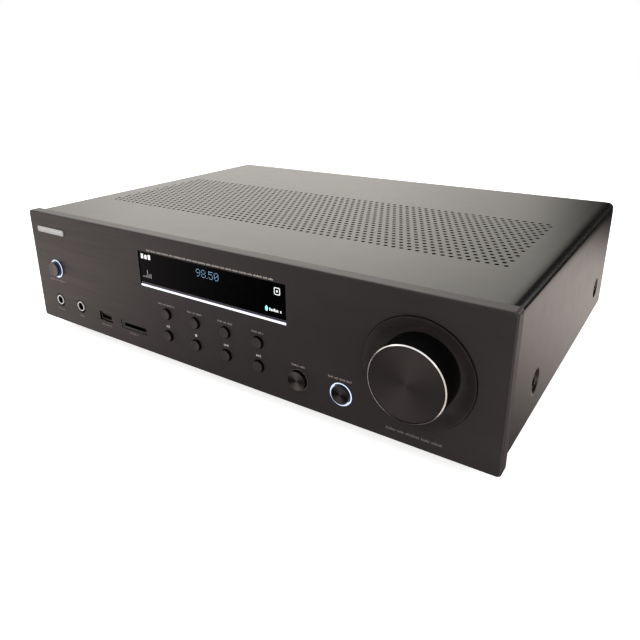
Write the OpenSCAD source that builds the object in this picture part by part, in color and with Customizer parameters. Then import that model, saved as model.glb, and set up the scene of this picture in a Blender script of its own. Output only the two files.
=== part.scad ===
/* [Case] */
// Width over the front panel
case_w = 430; // [420:1:440]
// Depth from the panel's face to the rear edge of the cover
case_depth = 298; // [290:1:320]
// Height of the front panel
panel_h = 101; // [101:1:104]
// Depth of the front panel with its returned edges
panel_depth = 9; // [9:0.5:9]
// Height of the feet under the chassis
foot_h = 14; // [8:1:20]
// Thickness of the cover sheet
sheet = 1.2; // [1:0.1:1.5]
// Outer bend radius of the cover
cover_bend = 4.5; // [3:0.5:6]

/* [Vents] */
// Holes in each row of the perforated field
vent_columns = 63; // [20:1:64]
// Rows in the perforated field
vent_rows = 20; // [4:1:22]
// Diameter of a vent hole
vent_d = 3; // [2:0.1:3.4]

/* [Volume knob] */
// Diameter of the volume knob
knob_d = 49; // [40:0.5:52]
// How far the volume knob stands out of the panel
knob_reach = 16; // [12:0.5:20]
// Diameter of the dish round the knob
dish_d = 72; // [68:0.5:74]
// Depth of the dish
dish_depth = 5; // [4.5:0.1:5.2]

/* [Controls] */
// Radius of a round function button
button_r = 4.5; // [3.5:0.1:5]
// How far a function button stands out
button_reach = 1.9; // [1.2:0.1:2.5]
// Distance between the button columns
button_pitch = 30; // [26:0.5:31]
// Radius of the power button
power_r = 7; // [6:0.1:7.1]
// Travel of every push button
button_travel = 1; // [0.5:0.1:1]
// Radius of a 6.35 mm jack's opening
jack_r = 3.2; // [3.2:0.05:3.3]

/* [Hidden] */
$fn = 48;

// Every module works from the middle of the panel's bottom edge on its front face:
// +X right, +Y into the case, +Z up. place() then sets the case on its feet and centres it.
chassis_z = 3;              // underside of the chassis above the panel's bottom edge
post_reach = 21;            // the speaker terminals behind the cover's rear edge
face_y = (knob_reach - case_depth - post_reach) / 2;
panel_z = foot_h - chassis_z;

// Front panel shell
panel_t = 3;                // thickness of the panel's face
panel_corner = 2.5;         // corner radius seen from the front
panel_round = 1;            // rounding of the front edge
// Planes behind the panel
frame_y = panel_depth + 0.2;
frame_back = frame_y + sheet;
board_y = 17.4;
board_t = 1.6;
switch_h = 4.5;
switch_size = 6;
flange_gap = 0.3;           // play between a control's flange and what it stops against
flange_t = 1.2;

// Case
cover_w = case_w - 3;
cover_z = panel_h - 1;      // top of the cover
cover_bottom = 7;
cover_gap = 0.6;            // joint between the panel's returns and the cover
inner_z = cover_z - sheet;
rear_face = case_depth - sheet;
rear_in = rear_face - sheet;
side_x = 210.4;             // outer face of the chassis sides
floor_top = chassis_z + sheet;
chassis_side_h = 37;
lip_h = 9;                  // the cover's folded lip on the rear panel

// Perforated field
vent_pitch_x = 6;
vent_pitch_y = 6.15;
vent_front = 73;            // the first row behind the panel's face

// Cover screws
dimple_r = 9;
dimple_depth = 1.8;
screw_r = 1.6;
screw_head_r = 2.9;
screw_head_h = 1.6;
side_screw_y = [65, 263];
side_screw_z = 30.5;
rear_screw_x = [-185, -62, 62, 185];
rear_screw_z = 94;

// Front layout: places across the panel (x) and up from its bottom edge (z)
window_x = [-73.5, 68];
window_z = [57.7, 86.5];
light_bar_h = 1.4;
light_bar_end = 6;
lens_recess = 0.6;
button_x0 = -46.7;
button_z = [39, 20.7];      // upper and lower row
power_x = -185.8;
power_z = 50.5;
jack_x = [-186.5, -157];
jack_z = 20.6;
usb_x = -123.4;
usb_z = 18.6;
usb_cut = [16, 8.2];
card_x = -88.2;
card_z = 17.4;
card_cut = [31, 7];
source_x = 77;
source_z = 20;
source_r = 7;
source_reach = 2.7;
select_x = 110.3;
select_z = 19.7;
select_r = 6.6;
select_reach = 1.6;
ring_r = 8.25;              // outer radius of both light rings
ring_bore = 7.35;
volume_x = 161.7;
volume_z = 50.4;
badge_x = -185.8;
badge_z = 85.5;
badge_size = [36.5, 5];

// Shafts, bushings and bores
fit_gap = 0.1;              // radial play of a fixed part in its hole
shaft_r = 3;
shaft_play = 0.05;
stem_r = 2;
bushing_r = 4.5;
small_bushing_r = 3.5;
nut_t = 2;
ferrule_r = 4.4;
ferrule_collar_r = 5.15;
ferrule_reach = 0.5;
jack_end = 32;
jack_bore_end = 30;
knob_tail = dish_depth - 0.6;  // how far the knob reaches into the dish

// Rear layout
inlet_x = -176;
inlet_z = 30;
inlet_cavity = [24.2, 16.6];
inlet_depth = 16.5;
inlet_flange_t = 2.5;
speaker_x = -85;
speaker_z = 34;
speaker_pitch = 19;
post_r = 4;
banana_r = 2.05;
post_end = case_depth + post_reach - 1;
post_cap_r = 7.8;
post_cap_y = 301;
rca_x = 62;
rca_z = [40, 56];
rca_pitch = 14;
rca_count = 5;
rca_r = 4.15;
rca_reach = 9;
rca_collar_r = 4.6;
rca_pin_r = 1.65;
ground_x = 112;
ground_z = 34;
ground_r = 2;
optical_x = 132;
optical_z = 50;
antenna_x = 165;
antenna_z = 68;
antenna_r = 4.7;
rear_vent_x = -150;
rear_vent_count = 18;
rear_vent_pitch = 8;
rear_vent_z = [58, 82];

// Inside
foot_r = 22;
foot_pad_t = 1;
foot_spots = [[-165, 45], [165, 45], [-165, 255], [165, 255]];
board_z = 14;
board_x = [-8, 200];
main_board_y = [60, 282];
transformer_at = [-135, 116];
transformer_r = 55;
heatsink_x = -16;
heatsink_y = [62, 228];
capacitor_spots = [[25, 110], [25, 146]];
ribbon_x = [60, 86];

module place() translate([0, face_y, panel_z]) children();

// Stands its child on the panel's face at x, z with the child's +Z towards the user
module on_front(x, z) translate([x, 0, z]) rotate([90, 0, 0]) children();

// Stands its child on the rear panel's outer face at x, z with the child's +Z to the rear
module on_rear(x, z) translate([x, rear_face, z]) rotate([-90, 0, 0]) children();

// A box given by its lowest and highest corners
module block(low, high) translate(low) cube(high - low);

// A disc or rod between two heights
module rod(r, low, high) translate([0, 0, low]) cylinder(r = r, h = high - low);

module tube(r, bore, low, high) {
  difference() {
    rod(r, low, high);
    rod(bore, low - 1, high + 1);
  }
}

module hex_nut(flats, bore, low, high) {
  difference() {
    translate([0, 0, low]) cylinder(d = flats / cos(30), h = high - low, $fn = 6);
    rod(bore, low - 1, high + 1);
  }
}

module rounded_outline(w, h, r) {
  translate([r, 0]) square([w - 2 * r, h]);
  translate([0, r]) square([w, h - 2 * r]);
  for (x = [r, w - r], z = [r, h - r]) translate([x, z]) circle(r);
}

// ---- Front panel ----

module panel_slab(inset, y, depth) {
  translate([inset - case_w / 2, y + depth, inset]) rotate([90, 0, 0])
    linear_extrude(depth)
      rounded_outline(case_w - 2 * inset, panel_h - 2 * inset, panel_corner);
}

module front_openings() {
  block([window_x[0], -1, window_z[0]], [window_x[1], panel_t + 1, window_z[1]]);
  for (i = [0:3], z = button_z)
    on_front(button_x0 + i * button_pitch, z) rod(button_r + 0.25, -panel_t - 1, 1);
  on_front(power_x, power_z) rod(ring_r + 0.05, -panel_t - 1, 1);
  on_front(select_x, select_z) rod(ring_r + 0.05, -panel_t - 1, 1);
  on_front(source_x, source_z) rod(source_r + 0.4, -panel_t - 1, 1);
  for (x = jack_x) on_front(x, jack_z) rod(ferrule_collar_r + 0.85, -panel_t - 1, 1);
  on_front(volume_x, volume_z) rod(dish_d / 2 + 0.1, -panel_t - 1, 1);
  translate([usb_x, 0, usb_z])
    block([-usb_cut[0] / 2, -1, -usb_cut[1] / 2], [usb_cut[0] / 2, panel_t + 1, usb_cut[1] / 2]);
  translate([card_x, 0, card_z])
    block([-card_cut[0] / 2, -1, -card_cut[1] / 2], [card_cut[0] / 2, panel_t + 1, card_cut[1] / 2]);
}

module front_panel() {
  color("#3d3837") place() difference() {
    hull() {
      panel_slab(panel_round, 0, 0.2, $fn = 32);
      panel_slab(panel_round * 0.3, panel_round * 0.3, 0.2, $fn = 32);
      panel_slab(0, panel_round, panel_depth - panel_round, $fn = 32);
    }
    block([-case_w / 2 + panel_t, panel_t, panel_t],
          [case_w / 2 - panel_t, panel_depth + 1, panel_h - panel_t]);
    front_openings();
  }
}

module badge_plate() {
  color("silver") place() on_front(badge_x - badge_size[0] / 2, badge_z - badge_size[1] / 2)
    linear_extrude(0.8) rounded_outline(badge_size[0], badge_size[1], 1.5);
}

// ---- Display ----

module display_window() {
  lens_low = window_z[0] + light_bar_h + 0.2;
  lens_flange = 3.5;
  color("black") place() {
    block([window_x[0] + fit_gap, lens_recess, lens_low],
          [window_x[1] - fit_gap, panel_t, window_z[1] - fit_gap]);
    block([window_x[0] - lens_flange, panel_t, lens_low],
          [window_x[1] + lens_flange, panel_t + flange_t, window_z[1] + lens_flange]);
  }
}

module display_light_bar() {
  color("white") place()
    block([window_x[0] + 0.6, 0.1, window_z[0] + fit_gap],
          [window_x[1] - 0.3, light_bar_end, window_z[0] + light_bar_h]);
}

module display_module() {
  module_margin = 1.5;
  module_back = 14;
  color("#202428") place()
    block([window_x[0] - module_margin, panel_t + flange_t, window_z[0] + 2 * module_margin],
          [window_x[1] + module_margin, module_back, window_z[1] + module_margin]);
}

// ---- Push buttons ----

// Cap, retaining flange and stem of a push button; low is the flange's front
module push_button(r, reach, flange_r, flange_front) {
  bevel = 0.35;
  stem_end = board_y - switch_h - button_travel - 0.1;
  rotate_extrude() polygon([
    [0, reach], [r - bevel, reach], [r, reach - bevel], [r, -flange_front],
    [flange_r, -flange_front], [flange_r, -flange_front - flange_t],
    [stem_r, -flange_front - flange_t], [stem_r, -stem_end], [0, -stem_end]
  ]);
}

module function_button(column, row) {
  color("#1b1a1a") place() on_front(button_x0 + column * button_pitch, button_z[row])
    push_button(button_r, button_reach, button_r + 1.2, panel_t + flange_gap);
}

module info_button() function_button(0, 0);
module band_button() function_button(1, 0);
module memory_button() function_button(2, 0);
module repeat_button() function_button(3, 0);
module play_pause_button() function_button(0, 1);
module stop_button() function_button(1, 1);
module previous_button() function_button(2, 1);
module next_button() function_button(3, 1);

module power_button() {
  color("#2a2827") place() on_front(power_x, power_z)
    push_button(power_r, 3.5, power_r + 1.6, panel_t + flange_t + flange_gap);
}

module light_ring() {
  rotate_extrude() polygon([
    [ring_bore, 0.1], [ring_r, 0.1], [ring_r, -panel_t], [ring_r + 1.2, -panel_t],
    [ring_r + 1.2, -panel_t - flange_t], [ring_bore, -panel_t - flange_t]
  ]);
}

module power_light_ring() color("#dbe8ff") place() on_front(power_x, power_z) light_ring();
module select_light_ring() color("#dbe8ff") place() on_front(select_x, select_z) light_ring();

// ---- Rotary knobs ----

// A small knob with a dished face, a retaining flange and a stem into its encoder
module small_knob(r, reach, flange_r, flange_front) {
  bevel = 0.3;
  dish = 0.5;
  stem_end = board_y - 3.5;
  rotate_extrude() polygon([
    [0, reach - dish], [r * 0.5, reach - dish * 0.8], [r - 0.9, reach - dish * 0.2], [r - bevel, reach],
    [r, reach - bevel], [r, -flange_front], [flange_r, -flange_front],
    [flange_r, -flange_front - 1], [stem_r, -flange_front - 1], [stem_r, -stem_end], [0, -stem_end]
  ]);
}

module source_knob() {
  color("#2b2928") place() on_front(source_x, source_z)
    small_knob(source_r, source_reach, source_r + 1.2, panel_t + flange_gap);
}

module select_knob() {
  color("#222120") place() on_front(select_x, select_z)
    small_knob(select_r, select_reach, select_r + 1.6, panel_t + flange_t + flange_gap);
}

module menu_encoders() {
  size = 12;
  color("dimgray") place() for (spot = [[source_x, source_z], [select_x, select_z]])
    on_front(spot[0], spot[1]) difference() {
      union() {
        block([-size / 2, -size / 2, -board_y], [size / 2, size / 2, -frame_back]);
        rod(small_bushing_r, -frame_back, -frame_back + 4.2);
      }
      rod(stem_r + shaft_play, -board_y + 2, 0);
    }
}

module volume_dish() {
  rim = dish_d / 2;
  rise = 1.2;                 // the rim stands out of the panel
  lip = 0.8;
  floor_r = knob_d / 2 + 0.8;
  wall = 1.4;
  steps = 8;
  slope = [for (i = [0:steps]) let (t = i / steps)
    [rim - lip - (rim - lip - floor_r) * t, rise - (dish_depth + rise) * sin(90 * t)]];
  color("#2c2929") place() on_front(volume_x, volume_z) rotate_extrude($fn = 96) polygon(concat(
    [[rim - 0.3, rise], [rim, rise - 0.3], [rim, -panel_t], [rim + 2, -panel_t],
     [rim + 2, -panel_t - flange_t], [rim - 3, -panel_t - flange_t],
     [floor_r - 1, -dish_depth - wall], [6.5, -dish_depth - wall], [6.5, -dish_depth]],
    [for (i = [steps:-1:0]) slope[i]]));
}

module volume_knob_cap() {
  r = knob_d / 2;
  wall = 2;
  bright = 0.7;
  color("#3a3736") place() on_front(volume_x, volume_z) rotate_extrude($fn = 96) polygon([
    [0, knob_reach - 0.3], [r - bright - 0.4, knob_reach - 0.2], [r - bright, knob_reach],
    [r, knob_reach - bright], [r, -knob_tail + 0.3], [r - 0.3, -knob_tail], [r - wall, -knob_tail],
    [r - wall, knob_reach - 2.8], [0, knob_reach - 2.8]
  ]);
}

// A round bar with a flat along its front part
module d_bar(r, low, high, flat_from) {
  difference() {
    rod(r, low, high);
    block([r - 0.8, -r, flat_from], [r + 1, r, high + 1]);
  }
}

module volume_knob_core() {
  hub_r = 6.5;
  outer = knob_d / 2 - 2 - fit_gap;
  top = knob_reach - 2.8;
  shaft_top = knob_reach - 4;
  color("#1a1a1a") place() on_front(volume_x, volume_z) difference() {
    union() {
      rod(hub_r, -2.5, top);
      tube(outer, outer - 2, -3, top);
      rod(outer - 1, top - 2, top);
      for (i = [0:5]) rotate(60 * i) block([hub_r - 1, -0.8, 3], [outer - 1, 0.8, top - 1]);
    }
    d_bar(shaft_r + fit_gap / 2, -4, shaft_top, 0);
  }
}

module volume_shaft() {
  color("silver") place() on_front(volume_x, volume_z)
    d_bar(shaft_r, -board_y + 1, knob_reach - 4, 0);
}

module volume_encoder() {
  size = 16;
  color("dimgray") place() on_front(volume_x, volume_z) difference() {
    union() {
      block([-size / 2, -size / 2, -board_y], [size / 2, size / 2, -frame_back]);
      rod(bushing_r, -frame_back, -3.8);
    }
    rod(shaft_r + shaft_play, -board_y + 0.8, 0);
  }
}

module panel_nuts() {
  color("silver") place() {
    on_front(volume_x, volume_z) hex_nut(12, bushing_r + fit_gap, -frame_y, -frame_y + nut_t);
    for (spot = [[source_x, source_z], [select_x, select_z]])
      on_front(spot[0], spot[1]) hex_nut(10, small_bushing_r + fit_gap, -frame_y, -frame_y + nut_t);
    for (x = jack_x)
      on_front(x, jack_z) hex_nut(12, ferrule_r + fit_gap, -frame_y, -frame_y + nut_t);
  }
}

// ---- Front sockets ----

module jack_body(x) {
  color("#151515") place() on_front(x, jack_z) difference() {
    block([-7.5, -7, -jack_end], [7.5, 7, -frame_back]);
    rod(jack_r, -jack_bore_end, 0);
  }
}

module headphone_jack() jack_body(jack_x[0]);
module line_in_jack() jack_body(jack_x[1]);

module jack_ferrules() {
  color("silver") place() for (x = jack_x) on_front(x, jack_z) rotate_extrude() polygon([
    [jack_r, -frame_back], [ferrule_r, -frame_back], [ferrule_r, -2], [ferrule_collar_r, -2],
    [ferrule_collar_r, ferrule_reach - 0.4], [ferrule_collar_r - 0.4, ferrule_reach],
    [jack_r + 0.3, ferrule_reach], [jack_r, ferrule_reach - 0.3]
  ]);
}

module usb_port() {
  shell = [13.8, 6.4];
  mouth = [12.5, 5.12];
  color("silver") place() translate([usb_x, 0, usb_z]) {
    difference() {
      block([-shell[0] / 2, 1, -shell[1] / 2], [shell[0] / 2, board_y, shell[1] / 2]);
      block([-mouth[0] / 2, 0, -mouth[1] / 2], [mouth[0] / 2, 12, mouth[1] / 2]);
    }
    block([-5.6, 2, 0.1], [5.6, 12.5, 1.94]);
  }
}

module card_slot() {
  mouth = [25.4, 2.6];
  mouth_end = 27;
  funnel = [28, 3.2];
  bezel = card_cut / 2 - [fit_gap, fit_gap];
  body = [29, 5.6] / 2;
  color("#121212") place() translate([card_x, 0, card_z]) difference() {
    union() {
      block([-bezel[0], 0.4, -bezel[1]], [bezel[0], panel_t, bezel[1]]);
      block([-body[0], panel_t, -body[1]], [body[0], jack_end, body[1]]);
    }
    block([-mouth[0] / 2, -1, -mouth[1] / 2], [mouth[0] / 2, mouth_end, mouth[1] / 2]);
    block([-funnel[0] / 2, -1, -funnel[1] / 2], [funnel[0] / 2, 1.6, funnel[1] / 2]);
  }
}

// ---- Frame and board behind the panel ----

module front_frame() {
  w = side_x;
  flange = 12;
  color("darkgray") place() difference() {
    union() {
      block([-w, frame_y, floor_top], [w, frame_back, inner_z - 0.8]);
      block([-w + 1.5, frame_back, floor_top], [w - 1.5, frame_back + flange, floor_top + sheet]);
      block([-w, frame_back, inner_z - 0.8 - sheet], [w, frame_back + flange, inner_z - 0.8]);
    }
    block([window_x[0] - 5, 5, window_z[0] - 1], [window_x[1] + 5, 12, window_z[1] + 4.5]);
    for (i = [0:3], z = button_z)
      on_front(button_x0 + i * button_pitch, z) rod(stem_r + 1.2, -frame_back - 1, -5);
    on_front(power_x, power_z) rod(stem_r + 1.2, -frame_back - 1, -5);
    for (spot = [[source_x, source_z], [select_x, select_z]])
      on_front(spot[0], spot[1]) rod(small_bushing_r + fit_gap, -frame_back - 1, -5);
    on_front(volume_x, volume_z) rod(bushing_r + fit_gap, -frame_back - 1, -5);
    for (x = jack_x) on_front(x, jack_z) rod(ferrule_r + fit_gap, -frame_back - 1, -5);
    translate([usb_x, 0, usb_z]) block([-8, 5, -4.2], [8, 12, 4.2]);
    translate([card_x, 0, card_z]) block([-15.5, 5, -3.8], [15.5, 12, 3.8]);
  }
}

module front_board() {
  color("#1f4a2e") place() {
    difference() {
      block([-204, board_y, 8], [204, board_y + board_t, 94]);
      block([-205, board_y - 1, 7], [-146, board_y + 3, 33]);
      translate([card_x, 0, card_z]) block([-16, board_y - 1, -11], [16, board_y + 3, 5]);
    }
    block([ribbon_x[0] - 2, board_y + board_t, 38], [ribbon_x[1] + 2, board_y + board_t + 6, 46]);
  }
}

module tact_switch(x, z) {
  s = switch_size / 2;
  on_front(x, z) {
    block([-s, -s, -board_y], [s, s, -board_y + 3.4]);
    rod(1.7, -board_y + 3.4, -board_y + switch_h);
  }
}

module tact_switches() {
  color("#303030") place() {
    for (i = [0:3], z = button_z) tact_switch(button_x0 + i * button_pitch, z);
    tact_switch(power_x, power_z);
  }
}

// ---- Case ----

module wrap(w, top, r, y0, y1) {
  translate([-w / 2, y1, 0]) rotate([90, 0, 0]) linear_extrude(y1 - y0) intersection() {
    translate([0, -r]) rounded_outline(w, top + r, r);
    square([w, top]);
  }
}

// The pressed seat of a side screw, a cone that narrows inwards from the sheet's outer face
module dimple(r, depth) {
  over = 0.01;
  translate([cover_w / 2 + over, 0, 0]) rotate([0, -90, 0])
    cylinder(r1 = r, r2 = r * 0.55, h = depth + over);
}

module top_cover() {
  y0 = panel_depth + cover_gap;
  color("#4a4645") place() difference() {
    union() {
      difference() {
        wrap(cover_w, cover_z, cover_bend, y0, case_depth);
        wrap(cover_w - 2 * sheet, inner_z, cover_bend - sheet, y0 - 1, case_depth + 1);
        block([-cover_w, 0, -1], [cover_w, case_depth + 1, cover_bottom]);
      }
      for (side = [0, 1], y = side_screw_y) mirror([side, 0, 0]) translate([0, y, side_screw_z])
        intersection() {
          dimple(dimple_r + 1, dimple_depth + sheet);
          block([side_x, -20, -20], [cover_w / 2 - 0.4, 20, 20]);
        }
      block([-cover_w / 2 + 8, rear_face, cover_z - lip_h], [cover_w / 2 - 8, case_depth, inner_z + 0.5]);
    }
    for (side = [0, 1], y = side_screw_y) mirror([side, 0, 0]) translate([0, y, side_screw_z]) {
      dimple(dimple_r, dimple_depth);
      rotate([0, 90, 0]) rod(screw_r, side_x - 2, cover_w / 2);
    }
    for (x = rear_screw_x) on_rear(x, rear_screw_z) rod(screw_r, -1, sheet + 1);
    // Every second row is shifted half a pitch to the left
    translate([-(vent_columns - 1) * vent_pitch_x / 2, vent_front, inner_z - 1])
      linear_extrude(sheet + 2)
        for (row = [0:vent_rows - 1], column = [0:vent_columns - 1])
          translate([(column - (row % 2) / 2) * vent_pitch_x, row * vent_pitch_y])
            circle(d = vent_d, $fn = 24);
  }
}

// A pan-head screw, its head above z = 0
module screw(length) {
  r = screw_r - fit_gap;
  rotate_extrude() polygon([
    [0, screw_head_h], [screw_head_r * 0.6, screw_head_h], [screw_head_r, screw_head_h * 0.4],
    [screw_head_r, 0], [r, 0], [r, -length], [0, -length]
  ]);
}

module cover_screws() {
  color("#111111") place() {
    for (side = [0, 1], y = side_screw_y) mirror([side, 0, 0])
      translate([cover_w / 2 - dimple_depth, y, side_screw_z]) rotate([0, 90, 0]) screw(5);
    for (x = rear_screw_x) translate([0, sheet, 0]) on_rear(x, rear_screw_z) screw(6);
  }
}

module chassis_base() {
  front = frame_back + 0.1;
  side_top = chassis_z + chassis_side_h;
  color("darkgray") place() difference() {
    union() {
      block([-side_x, front, chassis_z], [side_x, rear_in, floor_top]);
      for (side = [0, 1]) mirror([side, 0, 0])
        block([side_x - sheet, front, chassis_z], [side_x, rear_in, side_top]);
      for (x = [board_x[0] + 8, board_x[1] - 8], y = [main_board_y[0] + 8, main_board_y[1] - 8])
        translate([x, y, 0]) rod(3.5, floor_top - 0.2, board_z);
    }
    for (spot = foot_spots) translate([spot[0], spot[1], 0]) rod(screw_r, 0, 10);
    translate([transformer_at[0], transformer_at[1], 0]) rod(3, 0, 10);
    for (side = [0, 1], y = side_screw_y) mirror([side, 0, 0]) translate([0, y, side_screw_z])
      rotate([0, 90, 0]) rod(screw_r, side_x - 4, side_x + 2);
    for (i = [0:11]) block([-60 + i * 10, 180, 0], [-56 + i * 10, 220, 10]);
  }
}

module rear_panel() {
  color("#2a2a2c") place() difference() {
    block([-side_x, rear_in, floor_top], [side_x, rear_face - 0.05, inner_z - 0.2]);
    translate([inlet_x, 0, inlet_z]) block([-13.6, rear_in - 1, -9.9], [13.6, rear_face + 1, 9.9]);
    translate([speaker_x, 0, speaker_z]) block([-38, rear_in - 1, -8], [38, rear_face + 1, 8]);
    for (i = [0:rca_count - 1], z = rca_z)
      on_rear(rca_x + (i - 2) * rca_pitch, z) rod(rca_collar_r + 0.25, -sheet - 1, 1);
    on_rear(ground_x, ground_z) rod(ground_r + fit_gap, -sheet - 1, 1);
    translate([optical_x, 0, optical_z]) block([-5.2, rear_in - 1, -5.2], [5.2, rear_face + 1, 5.2]);
    on_rear(antenna_x, antenna_z) rod(antenna_r + fit_gap, -sheet - 1, 1);
    for (x = rear_screw_x) on_rear(x, rear_screw_z) rod(screw_r, -sheet - 1, 1);
    for (i = [0:rear_vent_count - 1])
      translate([rear_vent_x + i * rear_vent_pitch, 0, 0])
        block([-1.6, rear_in - 1, rear_vent_z[0]], [1.6, rear_face + 1, rear_vent_z[1]]);
  }
}

module feet() {
  top = chassis_z;
  bottom = -panel_z + foot_pad_t;
  color("#141414") place() for (spot = foot_spots) translate([spot[0], spot[1], 0])
    rotate_extrude($fn = 64) polygon([
      [screw_r + 0.1, top], [foot_r - 3, top], [foot_r - 3, top - 2], [foot_r, bottom + 3],
      [foot_r, bottom + 1], [foot_r - 1, bottom], [6.5, bottom], [6.5, bottom + 6],
      [screw_r + 0.1, bottom + 6]
    ]);
}

module foot_pads() {
  color("#3a3a3a") place() for (spot = foot_spots) translate([spot[0], spot[1], 0])
    tube(foot_r - 2, 8, -panel_z, -panel_z + foot_pad_t);
}

module foot_screws() {
  color("silver") place() for (spot = foot_spots)
    translate([spot[0], spot[1], -panel_z + foot_pad_t + 6]) rotate([180, 0, 0]) screw(12);
}

// ---- Rear sockets ----

module speaker_terminal_block() {
  color("#161616") place() translate([speaker_x, 0, speaker_z]) difference() {
    union() {
      block([-43, rear_face, -13], [43, rear_face + 2.7, 13]);
      block([-37.8, rear_face - 9, -7.8], [37.8, rear_face, 7.8]);
    }
    for (i = [0:3]) translate([(i - 1.5) * speaker_pitch, 0, 0])
      rotate([-90, 0, 0]) rod(post_r, rear_face - 20, rear_face + 20);
  }
}

module speaker_terminal_posts() {
  color("gold") place() for (i = [0:3])
    translate([speaker_x + (i - 1.5) * speaker_pitch, 0, speaker_z]) rotate([-90, 0, 0]) difference() {
      rod(post_r, rear_face - 14, post_end);
      rod(banana_r, post_end - 16, post_end + 1);
    }
}

module post_cap(i) {
  ribs = 16;
  end = post_end + 1;
  translate([speaker_x + (i - 1.5) * speaker_pitch, 0, speaker_z]) rotate([-90, 0, 0]) difference() {
    union() {
      rod(post_cap_r - 0.5, post_cap_y, end);
      rod(post_cap_r, post_cap_y, post_cap_y + 2.5);
      for (k = [0:ribs - 1]) rotate(360 / ribs * k)
        block([post_cap_r - 1.5, -0.6, post_cap_y], [post_cap_r - 0.1, 0.6, end - 1.5]);
    }
    rod(post_r + 0.06, post_cap_y - 1, post_end + 0.2);
    rod(banana_r + 0.3, post_cap_y, end + 1);
  }
}

module left_plus_cap() color("firebrick") place() post_cap(0);
module left_minus_cap() color("#181818") place() post_cap(1);
module right_minus_cap() color("#181818") place() post_cap(2);
module right_plus_cap() color("firebrick") place() post_cap(3);

// Two rows of phono sockets: each barrel stands on a collar that fills the panel's hole
module rca_block() {
  half_w = 2.6 * rca_pitch;
  depth = 12;
  color("#1c1c1c") place() difference() {
    union() {
      block([rca_x - half_w, rear_in - depth, rca_z[0] - 9], [rca_x + half_w, rear_in, rca_z[1] + 7]);
      for (i = [0:rca_count - 1], z = rca_z) on_rear(rca_x + (i - 2) * rca_pitch, z) {
        rod(rca_collar_r, -sheet - 0.2, 0);
        rod(rca_r, -0.2, rca_reach);
      }
    }
    for (i = [0:rca_count - 1], z = rca_z)
      on_rear(rca_x + (i - 2) * rca_pitch, z) rod(rca_pin_r, -4, rca_reach + 1);
  }
}

module antenna_socket() {
  color("silver") place() on_rear(antenna_x, antenna_z) difference() {
    union() {
      rod(antenna_r, -9, 11);
      cylinder(d = 12.5, h = 2, $fn = 6);
    }
    rod(2.6, 3, 12);
  }
}

module optical_socket() {
  color("#101010") place() translate([optical_x, 0, optical_z]) difference() {
    block([-5, rear_in - 9, -5], [5, rear_face + 1.5, 5]);
    block([-3.1, rear_in - 5, -3.1], [3.1, rear_face + 2, 3.1]);
  }
}

module ground_post() {
  color("silver") place() on_rear(ground_x, ground_z) {
    rod(ground_r, -8, 10);
    tube(4, ground_r - 0.2, 0, 1);
  }
}

module ground_nut() {
  ribs = 14;
  color("silver") place() on_rear(ground_x, ground_z) difference() {
    union() {
      rod(4.7, 1.5, 7);
      for (k = [0:ribs - 1]) rotate(360 / ribs * k) block([4, -0.5, 2], [5, 0.5, 6.5]);
    }
    rod(ground_r + 0.05, 0, 9);
  }
}

module mains_inlet() {
  body = [27, 19.6];
  flange = [31, 23.5];
  cavity_floor = rear_face + inlet_flange_t - inlet_depth;
  color("#0f0f0f") place() translate([inlet_x, 0, inlet_z]) {
    difference() {
      union() {
        block([-body[0] / 2, cavity_floor - 4, -body[1] / 2], [body[0] / 2, rear_face, body[1] / 2]);
        block([-flange[0] / 2, rear_face, -flange[1] / 2],
              [flange[0] / 2, rear_face + inlet_flange_t, flange[1] / 2]);
      }
      block([-inlet_cavity[0] / 2, cavity_floor, -inlet_cavity[1] / 2],
            [inlet_cavity[0] / 2, rear_face + 5, inlet_cavity[1] / 2]);
    }
    for (pin = [[-7, -2], [0, 2], [7, -2]])
      block([pin[0] - 1, cavity_floor - 1, pin[1] - 2], [pin[0] + 1, cavity_floor + 13.5, pin[1] + 2]);
  }
}

// ---- Inside ----

module toroidal_transformer() {
  low = floor_top + 2;
  high = 52;
  r = 9;
  bore = 18;
  color("#8a6b2f") place() translate([transformer_at[0], transformer_at[1], 0]) rotate_extrude($fn = 72)
    translate([bore, low]) rounded_outline(transformer_r - bore, high - low, r);
}

module transformer_clamp() {
  color("#30343a") place() translate([transformer_at[0], transformer_at[1], 0]) {
    rod(28, 52, 54);
    rod(3, chassis_z - 2, 58);
    hex = 10;
    translate([0, 0, 54]) cylinder(d = hex / cos(30), h = 5, $fn = 6);
    tube(45, 2.5, floor_top, floor_top + 2);
  }
}

module heatsink() {
  fins = 18;
  fin = 2;
  pitch = (heatsink_y[1] - heatsink_y[0] - fin) / (fins - 1);
  color("#24262a") place() {
    block([heatsink_x - 6, heatsink_y[0], floor_top], [heatsink_x, heatsink_y[1], 80]);
    for (i = [0:fins - 1]) translate([0, heatsink_y[0] + i * pitch, 0])
      block([heatsink_x - 40, 0, floor_top], [heatsink_x - 5, fin, 80]);
  }
}

module output_transistors() {
  color("#101010") place() for (y = [85, 125, 165, 205])
    block([heatsink_x, y - 8, 36], [heatsink_x + 4.8, y + 8, 57]);
}

module main_board() {
  top = board_z + board_t;
  color("#1f4a2e") place() {
    block([board_x[0], main_board_y[0], board_z], [board_x[1], main_board_y[1], top]);
    block([ribbon_x[0] - 2, main_board_y[0] + 4, top], [ribbon_x[1] + 2, main_board_y[0] + 10, top + 8]);
    for (y = [190, 225]) block([20, y, top], [48, y + 22, top + 16]);
    block([90, 100, top], [118, 128, top + 2.5]);
    block([90, 150, top], [112, 172, top + 10]);
  }
}

module filter_capacitors() {
  low = board_z + board_t;
  color("#20304a") place() for (spot = capacitor_spots) translate([spot[0], spot[1], 0])
    rotate_extrude() polygon([[0, low], [15, low], [15, 58], [14, 59.5], [0, 59.5]]);
}

module tuner_module() {
  low = board_z + board_t;
  color("silver") place() block([140, 212, low], [188, 274, low + 16]);
}

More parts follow.
